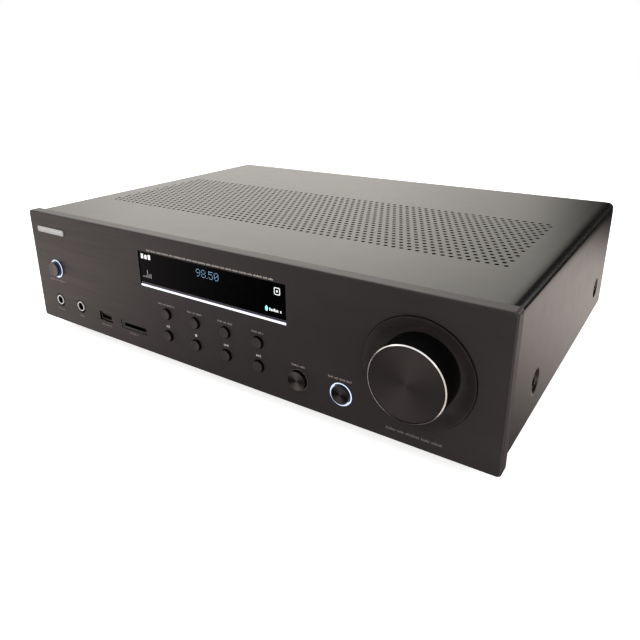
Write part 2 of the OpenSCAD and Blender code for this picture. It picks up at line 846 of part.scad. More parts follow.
module ribbon_cable() {
  start = [board_y + board_t + 6, 42];
  end = [main_board_y[0] + 4, board_z + board_t + 5];
  steps = 16;
  thick = 1;
  line = [for (i = [0:steps]) let (t = i / steps)
    [start[0] + (end[0] - start[0]) * t, start[1] + (end[1] - start[1]) * (1 - cos(180 * t)) / 2]];
  color("gainsboro") place() translate([ribbon_x[0], 0, 0]) rotate([90, 0, 90])
    linear_extrude(ribbon_x[1] - ribbon_x[0]) polygon(concat(
      line, [for (i = [steps:-1:0]) line[i] - [0, thick]]));
}

front_panel();
front_frame();
badge_plate();
display_window();
display_module();
display_light_bar();
power_button();
power_light_ring();
info_button();
band_button();
memory_button();
repeat_button();
play_pause_button();
stop_button();
previous_button();
next_button();
source_knob();
select_knob();
select_light_ring();
menu_encoders();
volume_dish();
volume_knob_cap();
volume_knob_core();
volume_shaft();
volume_encoder();
panel_nuts();
headphone_jack();
line_in_jack();
jack_ferrules();
usb_port();
card_slot();
front_board();
tact_switches();
top_cover();
cover_screws();
chassis_base();
rear_panel();
feet();
foot_pads();
foot_screws();
speaker_terminal_block();
speaker_terminal_posts();
left_plus_cap();
left_minus_cap();
right_plus_cap();
right_minus_cap();
rca_block();
antenna_socket();
optical_socket();
ground_post();
ground_nut();
mains_inlet();
toroidal_transformer();
transformer_clamp();
heatsink();
output_transistors();
main_board();
filter_capacitors();
tuner_module();
ribbon_cable();
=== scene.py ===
import math

import bmesh
import bpy
from mathutils import Matrix, Vector


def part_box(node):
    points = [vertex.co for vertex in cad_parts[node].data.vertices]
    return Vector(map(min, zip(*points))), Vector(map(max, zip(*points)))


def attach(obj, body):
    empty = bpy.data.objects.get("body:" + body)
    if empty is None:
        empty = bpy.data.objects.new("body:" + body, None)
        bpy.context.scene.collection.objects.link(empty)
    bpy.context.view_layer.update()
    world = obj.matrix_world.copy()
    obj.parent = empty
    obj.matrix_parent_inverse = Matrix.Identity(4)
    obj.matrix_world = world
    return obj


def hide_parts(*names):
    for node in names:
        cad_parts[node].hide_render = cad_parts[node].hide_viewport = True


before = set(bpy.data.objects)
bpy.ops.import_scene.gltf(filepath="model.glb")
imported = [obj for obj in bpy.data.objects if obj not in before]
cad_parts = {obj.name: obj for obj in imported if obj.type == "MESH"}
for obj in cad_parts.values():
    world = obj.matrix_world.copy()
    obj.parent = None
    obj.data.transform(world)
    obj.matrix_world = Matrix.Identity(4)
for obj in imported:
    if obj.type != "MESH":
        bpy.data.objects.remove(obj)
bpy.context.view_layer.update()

# Lengths here are millimetres from the middle of the front panel's bottom edge, on its front
# face: x to the right, y into the case, z up.
MM = 0.001
panel_low, panel_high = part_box("front_panel")
ORIGIN = Vector(((panel_low.x + panel_high.x) / 2, panel_low.y, panel_low.z))


def place(x, y, z):
    """A point in the frame, in metres."""
    return ORIGIN + MM * Vector((x, y, z))


def box(node):
    """The lowest and highest corners of a CAD node, in millimetres."""
    low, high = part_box(node)
    return (low - ORIGIN) / MM, (high - ORIGIN) / MM


def centre(node):
    low, high = box(node)
    return (low + high) / 2


def rgb(code):
    """A linear colour from a hex code as a screen shows it."""
    parts = [int(code[i:i + 2], 16) / 255 for i in (1, 3, 5)]
    linear = [c / 12.92 if c <= 0.04045 else ((c + 0.055) / 1.055) ** 2.4 for c in parts]
    return (*linear, 1.0)


# ---- Materials ----

class Nodes:
    """Short ways to add nodes to a tree."""

    def __init__(self, tree):
        self.tree = tree

    def add(self, kind, inputs=None, **settings):
        node = self.tree.nodes.new("ShaderNode" + kind)
        for key, value in settings.items():
            setattr(node, key, value)
        for socket, value in (inputs or {}).items():
            if isinstance(value, bpy.types.NodeSocket):
                self.tree.links.new(value, node.inputs[socket])
            else:
                node.inputs[socket].default_value = value
        return node

    def math(self, operation, *values):
        return self.add("Math", dict(enumerate(values)), operation=operation).outputs[0]

    def ranged(self, factor, low, high, start=0.3, end=0.7, **settings):
        """A value that goes from low to high as factor goes from start to end."""
        inputs = {"Value": factor, "From Min": start, "From Max": end,
                  "To Min": low, "To Max": high}
        return self.add("MapRange", inputs, **settings).outputs[0]


class Look(Nodes):
    """A Principled material, with short ways to add procedural detail to it."""

    def __init__(self, name, colour, roughness, metallic=0.0, **sockets):
        self.material = bpy.data.materials.new(name)
        self.material.use_nodes = True
        super().__init__(self.material.node_tree)
        self.shader = self.tree.nodes["Principled BSDF"]
        self.colour = rgb(colour)
        self.shader.inputs["Base Color"].default_value = self.colour
        self.shader.inputs["Roughness"].default_value = roughness
        self.shader.inputs["Metallic"].default_value = metallic
        for socket, value in sockets.items():
            self.shader.inputs[socket.replace("_", " ")].default_value = value
        self.coords = self.add("TexCoord").outputs["Object"]
        self.normal = None

    def link(self, output, socket):
        self.tree.links.new(output, self.shader.inputs[socket])

    def noise(self, size, stretch=(1, 1, 1), detail=3.0, coords=None):
        """Noise with features about size millimetres across, times stretch along each axis."""
        scale = [1 / (size * MM * s) for s in stretch]
        mapped = self.add("Mapping", {"Vector": coords or self.coords, "Scale": scale})
        found = self.add("TexNoise", {"Vector": mapped.outputs[0], "Scale": 1.0, "Detail": detail})
        return found.outputs["Fac"]

    def vary_colour(self, factor, other, start=0.3, end=0.7):
        """The base colour goes to other as factor goes from start to end."""
        ramp = self.add("ValToRGB", {"Fac": factor})
        ramp.color_ramp.elements[0].position = start
        ramp.color_ramp.elements[0].color = self.colour
        ramp.color_ramp.elements[1].position = end
        ramp.color_ramp.elements[1].color = rgb(other)
        self.link(ramp.outputs["Color"], "Base Color")
        return self

    def vary_roughness(self, factor, low, high):
        self.link(self.ranged(factor, low, high), "Roughness")
        return self

    def bump(self, factor, depth, strength=1.0):
        """Raises the surface by up to depth millimetres where factor is high."""
        inputs = {"Height": factor, "Distance": depth * MM, "Strength": strength}
        if self.normal:
            inputs["Normal"] = self.normal
        self.normal = self.add("Bump", inputs).outputs["Normal"]
        self.link(self.normal, "Normal")
        return self


def brushed_metal(name, colour, other, roughness, metallic, along=(60, 1, 1), **sockets):
    """Metal with fine brush lines along one axis and faint uneven patches."""
    look = Look(name, colour, roughness, metallic, **sockets)
    lines = look.noise(0.25, along, 2.0)
    look.vary_colour(look.noise(38, (2, 1, 1)), other)
    look.vary_roughness(look.noise(0.8, along, 2.0), roughness - 0.05, roughness + 0.05)
    return look.bump(lines, 0.006, 0.5)


def painted_metal(name, colour, other, roughness, grain=0.35, depth=0.012, spread=0.03, **sockets):
    """A baked paint film: fine orange peel, and a slow change of gloss and shade."""
    look = Look(name, colour, roughness, **sockets)
    look.vary_colour(look.noise(55), other)
    look.vary_roughness(look.noise(14, detail=4.0), roughness - spread, roughness + spread)
    return look.bump(look.noise(grain, detail=2.0), depth, 0.6)


def moulded_plastic(name, colour, other, roughness, grain=0.18, depth=0.01, **sockets):
    look = Look(name, colour, roughness, **sockets)
    look.vary_colour(look.noise(6), other)
    look.vary_roughness(look.noise(2.5, detail=4.0), roughness - 0.05, roughness + 0.06)
    return look.bump(look.noise(grain, detail=1.0), depth, 0.5)


def plated_metal(name, colour, other, roughness):
    """Polished or plated metal with light handling marks."""
    look = Look(name, colour, roughness, 1.0)
    look.vary_colour(look.noise(4), other)
    look.vary_roughness(look.noise(1.5, detail=5.0), roughness - 0.03, roughness + 0.06)
    return look.bump(look.noise(0.4), 0.003, 0.4)


def spun_metal(name, colour, other, roughness, metallic, node, toward=90.0, **sockets):
    """Metal turned on a lathe round a node's axis: concentric rings, and two soft rays of painted
    highlight in the base colour, going to other between them, the first of them toward an angle in
    degrees."""
    look = Look(name, colour, roughness, metallic, **sockets)
    middle = ORIGIN + MM * centre(node)
    about = look.add("Mapping", {"Vector": look.coords, "Location": (-middle.x, 0, -middle.z)})
    flat = look.add("VectorMath", {0: about.outputs[0], 1: (1, 0, 1)}, operation="MULTIPLY")
    radius = look.add("VectorMath", {0: flat.outputs[0]}, operation="LENGTH").outputs["Value"]
    ring = look.add("CombineXYZ", {"X": radius})
    rings = look.noise(0.16, detail=3.0, coords=ring.outputs[0])
    split = look.add("SeparateXYZ", {"Vector": flat.outputs[0]})
    angle = look.math("ARCTAN2", split.outputs["Z"], split.outputs["X"])
    # The rays are painted highlight: the base colour is lightest toward the given angle and
    # opposite it, and goes to other between them.
    painted_highlight_wave = look.math("COSINE", look.math("MULTIPLY_ADD", angle, 2.0, -2 * math.radians(toward)))
    look.vary_colour(look.ranged(painted_highlight_wave, 1, 0, -1, 1), other, 0.0, 1.0)
    look.vary_roughness(rings, roughness - 0.05, roughness + 0.05)
    look.bump(rings, 0.004, 0.5)
    look.link(look.add("Tangent", direction_type="RADIAL", axis="Y").outputs[0], "Tangent")
    return look


def lit_plastic(name, colour, emission, strength):
    """A light guide, a little uneven where its lamps sit; it also gives the painted light of the
    lens strip and the power cap's side.
    """
    look = Look(name, colour, 0.35, Emission_Color=rgb(emission))
    look.link(look.ranged(look.noise(9, detail=1.0), 0.85 * strength, 1.1 * strength),
              "Emission Strength")
    return look.bump(look.noise(0.3), 0.005, 0.3)


def printed_ink(name, colour, other):
    look = Look(name, colour, 0.6)
    look.vary_colour(look.noise(1.2), other)
    return look.bump(look.noise(0.1), 0.004, 0.4)


LOOKS = {
    "panel": brushed_metal("panel_anodised", "#332e30", "#2f2a2b", 0.42, 0.3),
    "cover": painted_metal("cover_paint", "#0d0b0a", "#0b0a09", 0.24, depth=0.006, spread=0.01),
    # Near-black with almost no gloss, for the walls of the panel's cut-outs and of the vent holes:
    # painted shade.
    "hole": moulded_plastic("painted_shade_hole_wall", "#030303", "#050504", 0.8, Specular_IOR_Level=0.05),
    # The turned knob faces carry two rays of painted highlight in their base colour; the second
    # colour is the darker one between the rays.
    "knob": spun_metal("knob_spun_painted_highlight", "#4c4646", "#403a3a", 0.36, 0.7, "volume_knob_cap", 70.0,
                       Anisotropic=0.6),
    "knob_rim": plated_metal("knob_rim_polished", "#e8e6e4", "#d2d0ce", 0.15),
    # Black with little gloss: the volume knob's own side, and painted shade on the sides of the
    # buttons and small knobs, on the jack collars and bores, and on the dish's crest and outer
    # wall.
    "black_side_and_shade": moulded_plastic("black_side_and_painted_shade", "#040404", "#060505", 0.4,
                                 Specular_IOR_Level=0.12),
    # Lighter than the panel: partly the bead's own tone, partly a painted highlight of the
    # opening's edge.
    "trim": moulded_plastic("trim_satin_and_highlight", "#57514f", "#4c4644", 0.45),
    "source": spun_metal("source_spun_painted_highlight", "#6c6564", "#1f1c1c", 0.34, 0.7, "source_knob", 96.0,
                         Anisotropic=0.6),
    "select": spun_metal("select_spun_painted_highlight", "#54504e", "#151417", 0.34, 0.7, "select_knob", 80.0,
                         Anisotropic=0.6),
    "dish": moulded_plastic("dish_satin", "#332e2e", "#2d2929", 0.4),
    "button": moulded_plastic("button_face_satin", "#302b2a", "#2a2625", 0.4),
    "power": moulded_plastic("power_plastic", "#35302e", "#2b2725", 0.34),
    "lens": moulded_plastic("lens_gloss", "#040405", "#020203", 0.07, 60, 0.004,
                            Specular_IOR_Level=0.02),
    # A dim lit strip just above the light bar: painted reflection of the bar under the lens.
    "painted_bar_reflection": lit_plastic("lens_painted_bar_reflection", "#2a2630", "#3a3348", 0.25),
    "bar": lit_plastic("bar_light", "#c8ccd4", "#eef0ff", 0.8),
    "ring": lit_plastic("ring_light", "#a8b4c8", "#d6e4ff", 0.9),
    # Faint blue emission on the power cap's side: painted light from the ring round it.
    "painted_blue_light": lit_plastic("button_side_painted_light", "#10121a", "#34509c", 0.06),
    "dots": lit_plastic("display_dots", "#6f94b4", "#8fbce0", 0.8),
    "marks": lit_plastic("display_marks", "#c0c0c0", "#e8ecf0", 0.7),
    "marks_dim": lit_plastic("display_marks_dim", "#606060", "#b8bcc0", 0.3),
    "marks_cyan": lit_plastic("display_mark_cyan", "#7fd6cc", "#7ff0e0", 0.9),
    "print": printed_ink("panel_print", "#7d7673", "#6c6663"),
    "print_light": printed_ink("panel_print_light", "#a39c98", "#948d89"),
    "print_dim": printed_ink("panel_print_dim", "#5c5b5f", "#525155"),
    "symbols": printed_ink("panel_symbols", "#b9b4b0", "#a5a09c"),
    "rear_print": printed_ink("rear_print", "#b8b8b8", "#a8a8a8"),
    "badge": brushed_metal("badge_satin", "#c4c4c6", "#b6b6b9", 0.42, 0.4, (20, 1, 1)),
    "usb_shell": plated_metal("usb_shell", "#6a6866", "#585654", 0.3),
    "chrome": plated_metal("chrome", "#d8d8da", "#c2c2c6", 0.12),
    "ferrule": plated_metal("ferrule_plate", "#b2babf", "#9ea6ab", 0.18),
    "nickel": plated_metal("nickel", "#b9b4aa", "#a39e95", 0.22),
    "gold": plated_metal("gold_plate", "#d9b566", "#c79f4e", 0.2),
    "zinc": brushed_metal("zinc_steel", "#8d9092", "#7c7f82", 0.42, 0.9, (1, 8, 1)),
    "black_plastic": moulded_plastic("black_plastic", "#141414", "#0e0e0e", 0.45),
    "gloss_black": moulded_plastic("gloss_black", "#0b0b0c", "#080808", 0.2),
    "rear_paint": painted_metal("rear_paint", "#1f1f20", "#1a1a1b", 0.5, 0.3, 0.015),
    "black_screw": plated_metal("black_screw", "#1d1d1e", "#141415", 0.35),
    "rubber": moulded_plastic("rubber", "#2a2a2a", "#202020", 0.8, 0.4, 0.03),
    "red_plastic": moulded_plastic("red_plastic", "#8e1712", "#74110d", 0.3),
    "white_plastic": moulded_plastic("white_plastic", "#d8d5cd", "#c9c5bc", 0.4),
    "board": moulded_plastic("circuit_board", "#1c4a2c", "#123820", 0.45, 1.2, 0.05),
    "copper": plated_metal("winding", "#8a5a2c", "#6e4220", 0.4),
    "heatsink": brushed_metal("heatsink_anodised", "#26282c", "#1e2024", 0.5, 0.6, (1, 1, 30)),
    "capacitor": moulded_plastic("capacitor_sleeve", "#1d2c46", "#16213a", 0.3),
    "ribbon": moulded_plastic("ribbon_grey", "#b8b8b4", "#9f9f9b", 0.5),
}

NODE_LOOKS = {
    "panel": ["front_panel"],
    "cover": ["top_cover"],
    "lens": ["display_window"],
    "bar": ["display_light_bar"],
    "chrome": ["antenna_socket", "ground_post", "ground_nut", "panel_nuts", "foot_screws",
               "volume_shaft"],
    "gold": ["speaker_terminal_posts"],
    "zinc": ["front_frame", "chassis_base", "tuner_module", "volume_encoder", "menu_encoders",
             "transformer_clamp"],
    "black_plastic": ["headphone_jack", "line_in_jack", "volume_knob_core",
                      "speaker_terminal_block", "optical_socket", "mains_inlet",
                      "left_minus_cap", "right_minus_cap", "feet", "tact_switches",
                      "display_module", "output_transistors"],
    "rear_paint": ["rear_panel"],
    "rubber": ["foot_pads"],
    "red_plastic": ["left_plus_cap", "right_plus_cap"],
    "board": ["front_board", "main_board"],
    "copper": ["toroidal_transformer"],
    "heatsink": ["heatsink"],
    "capacitor": ["filter_capacitors"],
    "ribbon": ["ribbon_cable"],
}

for look_name, nodes in NODE_LOOKS.items():
    for node in nodes:
        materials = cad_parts[node].data.materials
        materials.clear()
        materials.append(LOOKS[look_name].material)


def repaint(node, look_name, chosen):
    """Gives a CAD node's faces a second look where chosen(middle, in millimetres) is true."""
    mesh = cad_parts[node].data
    mesh.materials.append(LOOKS[look_name].material)
    for face in mesh.polygons:
        if chosen((face.center - ORIGIN) / MM):
            face.material_index = len(mesh.materials) - 1


# ---- Making meshes ----

def arc(middle, radius, start, end, steps=6):
    """Points of an arc round middle, from one angle to another in degrees."""
    turns = [math.radians(start + (end - start) * i / steps) for i in range(steps + 1)]
    return [(middle[0] + radius * math.cos(t), middle[1] + radius * math.sin(t)) for t in turns]


def rounded(x0, z0, x1, z1, radius, steps=5):
    """A rectangle with round corners, anticlockwise as the user sees it."""
    corners = [(x1 - radius, z0 + radius), (x1 - radius, z1 - radius),
               (x0 + radius, z1 - radius), (x0 + radius, z0 + radius)]
    return [point for k, corner in enumerate(corners)
            for point in arc(corner, radius, 90 * k - 90, 90 * k, steps)]


class Shape:
    """A mesh built up face by face, in millimetres."""

    def __init__(self):
        self.points, self.faces, self.slots = [], [], []

    def add(self, points, faces, slots=0):
        """slots is one material index for all the faces, or a list of them."""
        first = len(self.points)
        self.points += [Vector(point) for point in points]
        self.faces += [[first + i for i in face] for face in faces]
        self.slots += slots if isinstance(slots, list) else [slots] * len(faces)

    def prism(self, outline, front, back, slot=0):
        """An outline of (x, z) points, anticlockwise to the user, from one y to another."""
        count = len(outline)
        points = [(x, y, z) for y in (front, back) for x, z in outline]
        sides = [(i, i + count, (i + 1) % count + count, (i + 1) % count) for i in range(count)]
        ends = [tuple(range(count)), tuple(range(2 * count - 1, count - 1, -1))]
        self.add(points, ends + sides, slot)

    def block(self, low, high, slot=0):
        self.prism([(low[0], low[2]), (high[0], low[2]), (high[0], high[2]), (low[0], high[2])],
                   low[1], high[1], slot)

    def frame(self, outer, inner, front, back, slot=0):
        """A prism with a hole; both outlines have as many points."""
        count = len(outer)
        loops = [(outline, y) for y in (front, back) for outline in (outer, inner)]
        points = [(x, y, z) for outline, y in loops for x, z in outline]
        faces = []
        for i in range(count):
            j = (i + 1) % count
            for a, b in ((0, 1), (1, 3), (3, 2), (2, 0)):
                faces.append((a * count + i, a * count + j, b * count + j, b * count + i))
        self.add(points, faces, slot)

    def lathe(self, profile, x=0.0, z=0.0, base=0.0, out=-1, segments=96, slots=None):
        """Turns (radius, reach) points round the y axis at x, z; reach runs from base towards out.
        slots gives the material index of each stretch of the profile."""
        points, starts = [], []
        for radius, reach in profile:
            starts.append(len(points))
            turns = [math.tau * i / segments for i in range(segments if radius else 1)]
            points += [(x + radius * math.cos(t), base + out * reach, z + radius * math.sin(t))
                       for t in turns]
        faces, used = [], []
        for k in range(len(profile) - 1):
            near, far = (1 if profile[m][0] else 0 for m in (k, k + 1))
            for i in range(segments):
                j = (i + 1) % segments
                corners = (starts[k] + i * near, starts[k] + j * near,
                           starts[k + 1] + j * far, starts[k + 1] + i * far)
                faces.append(list(dict.fromkeys(corners)))
                used.append(slots[k] if slots else 0)
        self.add(points, faces, used)

    def stamp(self, other, at, turn=0.0):
        """Adds a copy of another shape, turned about z by degrees and moved."""
        spin = Matrix.Rotation(math.radians(turn), 3, "Z")
        points = [spin @ point + Vector(at) for point in other.points]
        self.add(points, other.faces, list(other.slots))

    def make(self, name, looks, body="chassis", replaces=(), sharp=35.0, bevel=0.0):
        """The finished piece. bevel rounds its edges, in millimetres."""
        mesh = bpy.data.meshes.new(name)
        mesh.from_pydata([place(*point) for point in self.points], [], self.faces)
        for look in looks:
            mesh.materials.append(LOOKS[look].material)
        mesh.polygons.foreach_set("material_index", self.slots)
        outward = bmesh.new()
        outward.from_mesh(mesh)
        bmesh.ops.recalc_face_normals(outward, faces=outward.faces[:])
        outward.to_mesh(mesh)
        outward.free()
        mesh.shade_smooth()
        piece = bpy.data.objects.new(name, mesh)
        bpy.context.scene.collection.objects.link(piece)
        if bevel:
            edges = piece.modifiers.new("edges", "BEVEL")
            edges.width = bevel * MM
            edges.segments = 3
            edges.limit_method = "ANGLE"
        else:
            mesh.set_sharp_from_angle(angle=math.radians(sharp))
        normals = piece.modifiers.new("normals", "WEIGHTED_NORMAL")
        normals.keep_sharp = True
        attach(piece, body)
        if replaces:
            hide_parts(*replaces)
        return piece


# ---- Top cover ----

SHEET = 1.2
BEND = 4.8              # radius of the bend, and how the sheet eases into and out of it
EASE = (6.5, 9.0)
EASE_TURN = math.radians(5)
VENT_R = 1.6            # with the rolled edge of the punched hole
VENT_PITCH = (6.0, 6.15)
VENT_ROWS, VENT_COLUMNS = 20, 63
VENT_FRONT = 73.0
VENT_SIDES = 20
SIDE_SCREW_Y = (65.0, 263.0)
SIDE_SCREW_Z = 30.5
REAR_SCREW_X = (-185.0, -62.0, 62.0, 185.0)
REAR_SCREW_Z = 94.0
# A pressed screw seat: radius, and depth under the sheet's outer and inner faces
SEAT = [(9.6, 0.0, 0.0), (9.0, 0.06, 0.1), (8.5, 0.22, 0.3), (8.0, 0.5, 0.6), (5.7, 1.5, 1.6),
        (5.3, 1.68, 1.75), (4.8, 1.76, 1.8), (4.2, 1.8, 1.8), (1.6, 1.8, 1.8)]


class FlatSheet:
    """The cover before it is folded: points across (u) and along (y), faces between them, and how
    far a pressing pushes each point in."""

    def __init__(self):
        self.index, self.pressed, self.faces = {}, {}, []

    def point(self, u, y, outer=0.0, inner=0.0):
        number = self.index.setdefault((round(u, 4), round(y, 4)), len(self.index))
        self.pressed[number] = (outer, inner)
        return number

    def face(self, spots, flip=False):
        corners = [self.point(*spot) for spot in spots]
        self.faces.append(corners[::-1] if flip else corners)


def vent_field(flat):
    """Staggered rows of holes, each in its own cell. Returns the field's outline by side."""
    half_x, half_y = VENT_PITCH[0] / 2, VENT_PITCH[1] / 2
    first = -(VENT_COLUMNS - 1) * half_x
    sides = {"left": [], "right": [], "front": [], "back": []}
    for row in range(VENT_ROWS):
        y = VENT_FRONT + row * VENT_PITCH[1]
        starts = first - (row % 2) * half_x
        ends = starts + (VENT_COLUMNS - 1) * VENT_PITCH[0] + half_x
        sides["left"] += [(starts - half_x, y - half_y), (starts - half_x, y + half_y)]
        sides["right"] += [(ends, y - half_y), (ends, y + half_y)]
        for column in range(VENT_COLUMNS):
            x = starts + column * VENT_PITCH[0]
            ring = arc((x, y), VENT_R, -90, 270, VENT_SIDES)
            half = VENT_SIDES // 2
            flat.face([(x, y - half_y), (x + half_x, y - half_y), (x + half_x, y + half_y),
                       (x, y + half_y), *ring[half::-1]])
            flat.face([(x, y + half_y), (x - half_x, y + half_y), (x - half_x, y - half_y),
                       (x, y - half_y), *ring[:half - 1:-1]])
            for side, edge in (("front", 0), ("back", VENT_ROWS - 1)):
                if row == edge:
                    z = y - half_y if side == "front" else y + half_y
                    sides[side] += [(x - half_x, z), (x, z)]
        for side, edge in (("front", 0), ("back", VENT_ROWS - 1)):
            if row == edge:
                sides[side].append((ends, y - half_y if side == "front" else y + half_y))
    return sides


def bend_line():
    """The sheet's outer line round a corner: length, distance across, drop and heading at stations
    from where it leaves the flat to where the side is upright."""
    turn = math.pi / 2 - 2 * EASE_TURN
    stretches = [(EASE[0], lambda t: EASE_TURN * t * t),
                 (BEND * turn, lambda t: EASE_TURN + turn * t),
                 (EASE[1], lambda t: math.pi / 2 - EASE_TURN * (1 - t) ** 2)]
    steps = 9
    stations = [(0.0, 0.0, 0.0, 0.0)]
    for reach, heading in stretches:
        for k in range(steps):
            length, across, drop, _ = stations[-1]
            step, middle = reach / steps, heading((k + 0.5) / steps)
            stations.append((length + step, across + step * math.cos(middle),
                             drop + step * math.sin(middle), heading((k + 1) / steps)))
    return stations


def make_cover():
    low, high = box("top_cover")
    stations = bend_line()
    bend_length, bend_across, bend_drop, _ = stations[-1]
    flat_half = high.x - bend_across
    bend_end = flat_half + bend_length
    side_top = high.z - bend_drop
    side_end = bend_end + side_top - low.z
    front, back = low.y, high.y
    flat = FlatSheet()
    field = vent_field(flat)
    flat.face([(-flat_half, front), (flat_half, front), *field["front"][::-1]])
    flat.face([(flat_half, back), (-flat_half, back), *field["back"]])
    flat.face([(-flat_half, back), (-flat_half, front), *field["left"]])
    flat.face([(flat_half, front), (flat_half, back), *field["right"][::-1]])

    around = 40
    seat_u = bend_end + side_top - SIDE_SCREW_Z
    for side in (-1, 1):
        across = [flat_half + station[0] for station in stations]
        for a, b in zip(across, across[1:]):
            flat.face([(side * a, front), (side * b, front), (side * b, back), (side * a, back)],
                      flip=side < 0)
        upper, lower = [], []
        for y in SIDE_SCREW_Y:
            rings = [[(side * u, v, outer, inner)
                      for u, v in arc((seat_u, y), radius, -90, 270, around)[:-1]]
                     for radius, outer, inner in SEAT]
            for wide, narrow in zip(rings, rings[1:]):
                for i in range(around):
                    j = (i + 1) % around
                    flat.face([wide[i], wide[j], narrow[j], narrow[i]], flip=side < 0)
            outside = rings[0]
            upper += [outside[0], *outside[:around // 2 - 1:-1]]
            lower += outside[:around // 2 + 1]
        flat.face([(side * seat_u, front), *upper, (side * seat_u, back), (side * bend_end, back),
                   (side * bend_end, front)], flip=side < 0)
        flat.face([(side * side_end, front), (side * side_end, back), (side * seat_u, back),
                   *lower[::-1], (side * seat_u, front)], flip=side < 0)

    def folded(u, y, depth):
        side, across = math.copysign(1, u), abs(u)
        if across < flat_half:
            return u, y, high.z - depth
        if across > bend_end:
            return side * (high.x - depth), y, side_top - (across - bend_end)
        _, over, drop, heading = min(
            stations, key=lambda station: abs(flat_half + station[0] - across))
        return (side * (flat_half + over - depth * math.sin(heading)), y,
                high.z - drop - depth * math.cos(heading))

    spots = sorted(flat.index, key=flat.index.get)
    count = len(spots)
    outer = [folded(*spot, flat.pressed[i][0]) for i, spot in enumerate(spots)]
    inner = [folded(*spot, SHEET + flat.pressed[i][1]) for i, spot in enumerate(spots)]
    edges = {edge for face in flat.faces for edge in zip(face, face[1:] + face[:1])}
    walls = sorted((b, a, a + count, b + count) for a, b in edges if (b, a) not in edges)
    # The vent holes' walls take the second look, near-black: painted shade in the holes.
    punched = [int(abs(spots[wall[0]][0]) < flat_half and front < spots[wall[0]][1] < back)
               for wall in walls]
    shape = Shape()
    shape.add(outer + inner,
              [*flat.faces, *([i + count for i in face[::-1]] for face in flat.faces), *walls],
              [0] * (2 * len(flat.faces)) + punched)
    lip_top, lip_low, lip_end = high.z - SHEET, high.z - 9.0, high.x - 8.0
    shape.block((-lip_end, back - SHEET, lip_low), (lip_end, back, lip_top))
    shape.make("cover_sheet", ["cover", "hole"], replaces=["top_cover"])


make_cover()


# ---- Front: print, badge and display ----

PRINT_PROUD = 0.03      # the ink stands this far off the panel
PRINT_SINK = 0.05


def greeked(shape, x0, x1, z, height, words=(5, 3, 7, 4), face=0.0, out=-1, slot=0):
    """A line of small blocks in word-like groups, standing for print that can't be read."""
    step, width = 0.62 * height, 0.42 * height
    x, letter, word = x0, 0, 0
    while x + width <= x1:
        if letter == words[word % len(words)]:
            letter, word = 0, word + 1
            x += step
            continue
        tall = height if (letter + word) % 3 == 0 else 0.72 * height
        front, back = sorted((face + out * PRINT_PROUD, face - out * PRINT_SINK))
        shape.block((x, front, z), (x + width, back, z + tall), slot)
        letter += 1
        x += step


def centred(shape, x, z, width, height, **how):
    greeked(shape, x - width / 2, x + width / 2, z, height, **how)


def symbol(shape, x, z, parts, slot=1):
    """A transport symbol 2 mm high: "<" and ">" are triangles, "|" a bar and "#" a square."""
    high = 2.0
    widths = {"<": 1.5, ">": 1.5, "|": 0.45, "#": 2.0}
    gap = 0.3
    left = x - (sum(widths[part] for part in parts) + gap * (len(parts) - 1)) / 2
    for part in parts:
        right = left + widths[part]
        if part == ">":
            outline = [(left, z), (right, z + high / 2), (left, z + high)]
        elif part == "<":
            outline = [(right, z), (right, z + high), (left, z + high / 2)]
        else:
            outline = [(left, z), (right, z), (right, z + high), (left, z + high)]
        shape.prism(outline, -PRINT_PROUD, PRINT_SINK, slot)
        left = right + gap


UPPER_ROW = ["info_button", "band_button", "memory_button", "repeat_button"]
LOWER_ROW = ["play_pause_button", "stop_button", "previous_button", "next_button"]


def print_panel():
    shape = Shape()
    window_low, window_high = box("display_window")
    greeked(shape, window_low.x + 14, window_high.x - 13, 87.5, 1.35, (4, 7, 6, 8, 5, 9), slot=2)
    for node, width in zip(UPPER_ROW, (17.6, 15.1, 14.0, 10.7)):
        button = centre(node)
        centred(shape, button.x, button.z + 6.9, width, 1.5)
    for node, parts in zip(LOWER_ROW, (">||", "#", "|<<", ">>|")):
        button = centre(node)
        symbol(shape, button.x, button.z + 6.9, parts)
    source, select, volume = centre("source_knob"), centre("select_knob"), centre("volume_knob_cap")
    centred(shape, source.x, source.z + 9.9, 10.6, 1.6, words=(6,))
    centred(shape, select.x, select.z + 10.3, 19.0, 1.5, words=(4, 3, 5))
    centred(shape, volume.x, 7.0, 37.0, 1.8, words=(6, 4, 8, 5), slot=3)
    power = centre("power_button")
    centred(shape, power.x, power.z - 11.6, 22.0, 1.4, words=(7, 6))
    low, high = box("jack_ferrules")
    centred(shape, low.x + 5.15, 11.0, 11.7, 1.4, words=(6, 4))
    centred(shape, high.x - 5.15, 11.0, 5.6, 1.4, words=(6,))
    usb, card = centre("usb_port"), centre("card_slot")
    centred(shape, usb.x, 10.2, 12.4, 1.4, words=(5, 4))
    centred(shape, card.x, 10.6, 10.6, 1.4, words=(2, 5))
    shape.make("panel_print", ["print", "symbols", "print_light", "print_dim"])


def make_badge():
    """A plain plate with a raised border."""
    low, high = box("badge_plate")
    border, field = 0.6, 0.35
    outer = rounded(low.x, low.z, high.x, high.z, 1.5)
    inner = rounded(low.x + border, low.z + border, high.x - border, high.z - border, 0.9)
    shape = Shape()
    shape.frame(outer, inner, low.y, high.y)
    shape.prism(inner, low.y + field, high.y)
    shape.make("badge", ["badge"], replaces=["badge_plate"], bevel=0.12)


# Dot patterns of the digits that the tuner shows, row by row from the top
DIGITS = {
    "0": ["01110", "10001", "10011", "10101", "11001", "10001", "01110"],
    "5": ["11111", "10000", "11110", "00001", "00001", "10001", "01110"],
    "8": ["01110", "10001", "10001", "01110", "10001", "10001", "01110"],
    "9": ["01110", "10001", "10001", "01111", "00001", "00010", "01100"],
    ".": ["0", "0", "0", "0", "0", "0", "1"],
}
DOT_PITCH = 0.88
DOT = 0.44


